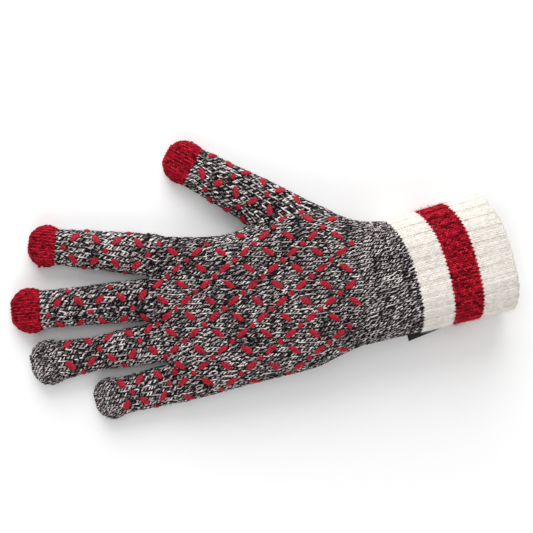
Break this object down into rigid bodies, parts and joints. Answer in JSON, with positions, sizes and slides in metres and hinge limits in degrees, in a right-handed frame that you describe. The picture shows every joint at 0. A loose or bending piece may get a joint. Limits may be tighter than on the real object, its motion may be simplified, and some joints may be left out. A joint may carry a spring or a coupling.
{
  "type": "touchscreen glove",
  "caption": "Knitted right-hand glove with a striped ribbed cuff, conductive fingertips, raised grip print and folding digits.",
  "frame": {"origin": "on the plane that the back of the glove rests on, under the middle of the palm side outline", "axes": "+X from the fingertips to the cuff, +Y to the thumb side, +Z out of the palm"},
  "size_m": [0.2697, 0.1489, 0.0405],
  "materials": {
    "marl_knit": "marled black and white knit, matt",
    "touch_knit": "fine red conductive knit, matt",
    "cream_rib": "ribbed wool, fuzzy",
    "red_rib": "ribbed wool, fuzzy",
    "grip": "raised silicone print, satin",
    "label": "woven label, blank",
    "thread": "sewing thread"
  },
  "bodies": {
    "hand": {"index_root_fold": "marl_knit", "index_root_fold_grips": "grip", "little_root_fold": "marl_knit", "little_root_fold_grips": "grip", "middle_root_fold": "marl_knit", "middle_root_fold_grips": "grip", "palm": "marl_knit", "palm_grip_bars": "grip", "palm_grip_dots": "grip", "ring_root_fold": "marl_knit", "ring_root_fold_grips": "grip", "thumb_root_fold": "marl_knit", "thumb_root_fold_grips": "grip", "wrist": "marl_knit"},
    "cuff": {"cuff_band_inner": "cream_rib", "cuff_stripe": "red_rib", "cuff_band_outer": "cream_rib", "cuff_edge": "cream_rib", "label_stitches": "thread"},
    "label": {"label_tab": "label"},
    "index_base": {"index_base": "marl_knit", "index_base_grips": "grip", "index_middle_fold": "marl_knit", "index_middle_fold_grips": "grip"},
    "index_end": {"index_cap": "touch_knit", "index_cap_knot": "touch_knit", "index_end": "marl_knit", "index_end_grips": "grip"},
    "middle_base": {"middle_base": "marl_knit", "middle_base_grips": "grip", "middle_middle_fold": "marl_knit", "middle_middle_fold_grips": "grip"},
    "middle_end": {"middle_cap": "touch_knit", "middle_end": "marl_knit", "middle_end_grips": "grip"},
    "ring_base": {"ring_base": "marl_knit", "ring_base_grips": "grip", "ring_middle_fold": "marl_knit", "ring_middle_fold_grips": "grip"},
    "ring_end": {"ring_cap": "marl_knit", "ring_end": "marl_knit", "ring_end_grips": "grip"},
    "little_base": {"little_base": "marl_knit", "little_middle_fold": "marl_knit", "little_middle_fold_grips": "grip"},
    "little_end": {"little_cap": "marl_knit", "little_end": "marl_knit", "little_end_grips": "grip"},
    "thumb_base": {"thumb_base": "marl_knit", "thumb_base_grips": "grip", "thumb_middle_fold": "marl_knit", "thumb_middle_fold_grips": "grip"},
    "thumb_end": {"thumb_cap": "touch_knit", "thumb_end": "marl_knit"}
  },
  "joints": [
    {"name": "index_root_bend", "type": "hinge", "parent": "hand", "child": "index_base", "pos_m": [-0.06797, 0.0139, 0.0105], "axis": [0, 1, 0], "range_deg": [0, 85], "deforming": ["index_root_fold", "index_root_fold_grips"]},
    {"name": "index_middle_bend", "type": "hinge", "parent": "index_base", "child": "index_end", "pos_m": [-0.09287, 0.01608, 0.0105], "axis": [0, 1, 0], "range_deg": [0, 90], "deforming": ["index_middle_fold", "index_middle_fold_grips"]},
    {"name": "middle_root_bend", "type": "hinge", "parent": "hand", "child": "middle_base", "pos_m": [-0.06797, -0.01124, 0.0105], "axis": [0, 1, 0], "range_deg": [0, 85], "deforming": ["middle_root_fold", "middle_root_fold_grips"]},
    {"name": "middle_middle_bend", "type": "hinge", "parent": "middle_base", "child": "middle_end", "pos_m": [-0.09684, -0.01392, 0.0105], "axis": [0, 1, 0], "range_deg": [0, 90], "deforming": ["middle_middle_fold", "middle_middle_fold_grips"]},
    {"name": "ring_root_bend", "type": "hinge", "parent": "hand", "child": "ring_base", "pos_m": [-0.06779, -0.03525, 0.0105], "axis": [0, 1, 0], "range_deg": [0, 85], "deforming": ["ring_root_fold", "ring_root_fold_grips"]},
    {"name": "ring_middle_bend", "type": "hinge", "parent": "ring_base", "child": "ring_end", "pos_m": [-0.09136, -0.03975, 0.0105], "axis": [0, 1, 0], "range_deg": [0, 90], "deforming": ["ring_middle_fold", "ring_middle_fold_grips"]},
    {"name": "little_root_bend", "type": "hinge", "parent": "hand", "child": "little_base", "pos_m": [-0.05276, -0.05624, 0.0105], "axis": [0, 1, 0], "range_deg": [0, 85], "deforming": ["little_root_fold", "little_root_fold_grips"]},
    {"name": "little_middle_bend", "type": "hinge", "parent": "little_base", "child": "little_end", "pos_m": [-0.06829, -0.06011, 0.0105], "axis": [0, 1, 0], "range_deg": [0, 90], "deforming": ["little_middle_fold", "little_middle_fold_grips"]},
    {"name": "thumb_root_bend", "type": "hinge", "parent": "hand", "child": "thumb_base", "pos_m": [-0.01042, 0.04528, 0.0105], "axis": [0.4756, 0.8796, 0], "range_deg": [0, 60], "deforming": ["thumb_root_fold", "thumb_root_fold_grips"]},
    {"name": "thumb_middle_bend", "type": "hinge", "parent": "thumb_base", "child": "thumb_end", "pos_m": [-0.02625, 0.05384, 0.0105], "axis": [0.4756, 0.8796, 0], "range_deg": [0, 80], "deforming": ["thumb_middle_fold", "thumb_middle_fold_grips"]},
    {"name": "wrist_bend", "type": "hinge", "parent": "hand", "child": "cuff", "pos_m": [0.062, 0.002, 0.02], "axis": [0.123, -0.9924, 0], "range_deg": [-50, 60], "deforming": ["wrist"]},
    {"name": "label_flap", "type": "hinge", "parent": "cuff", "child": "label", "pos_m": [0.08325, -0.02444, 0.01], "axis": [0.965, 0.2622, 0], "range_deg": [-25, 75]}
  ]
}
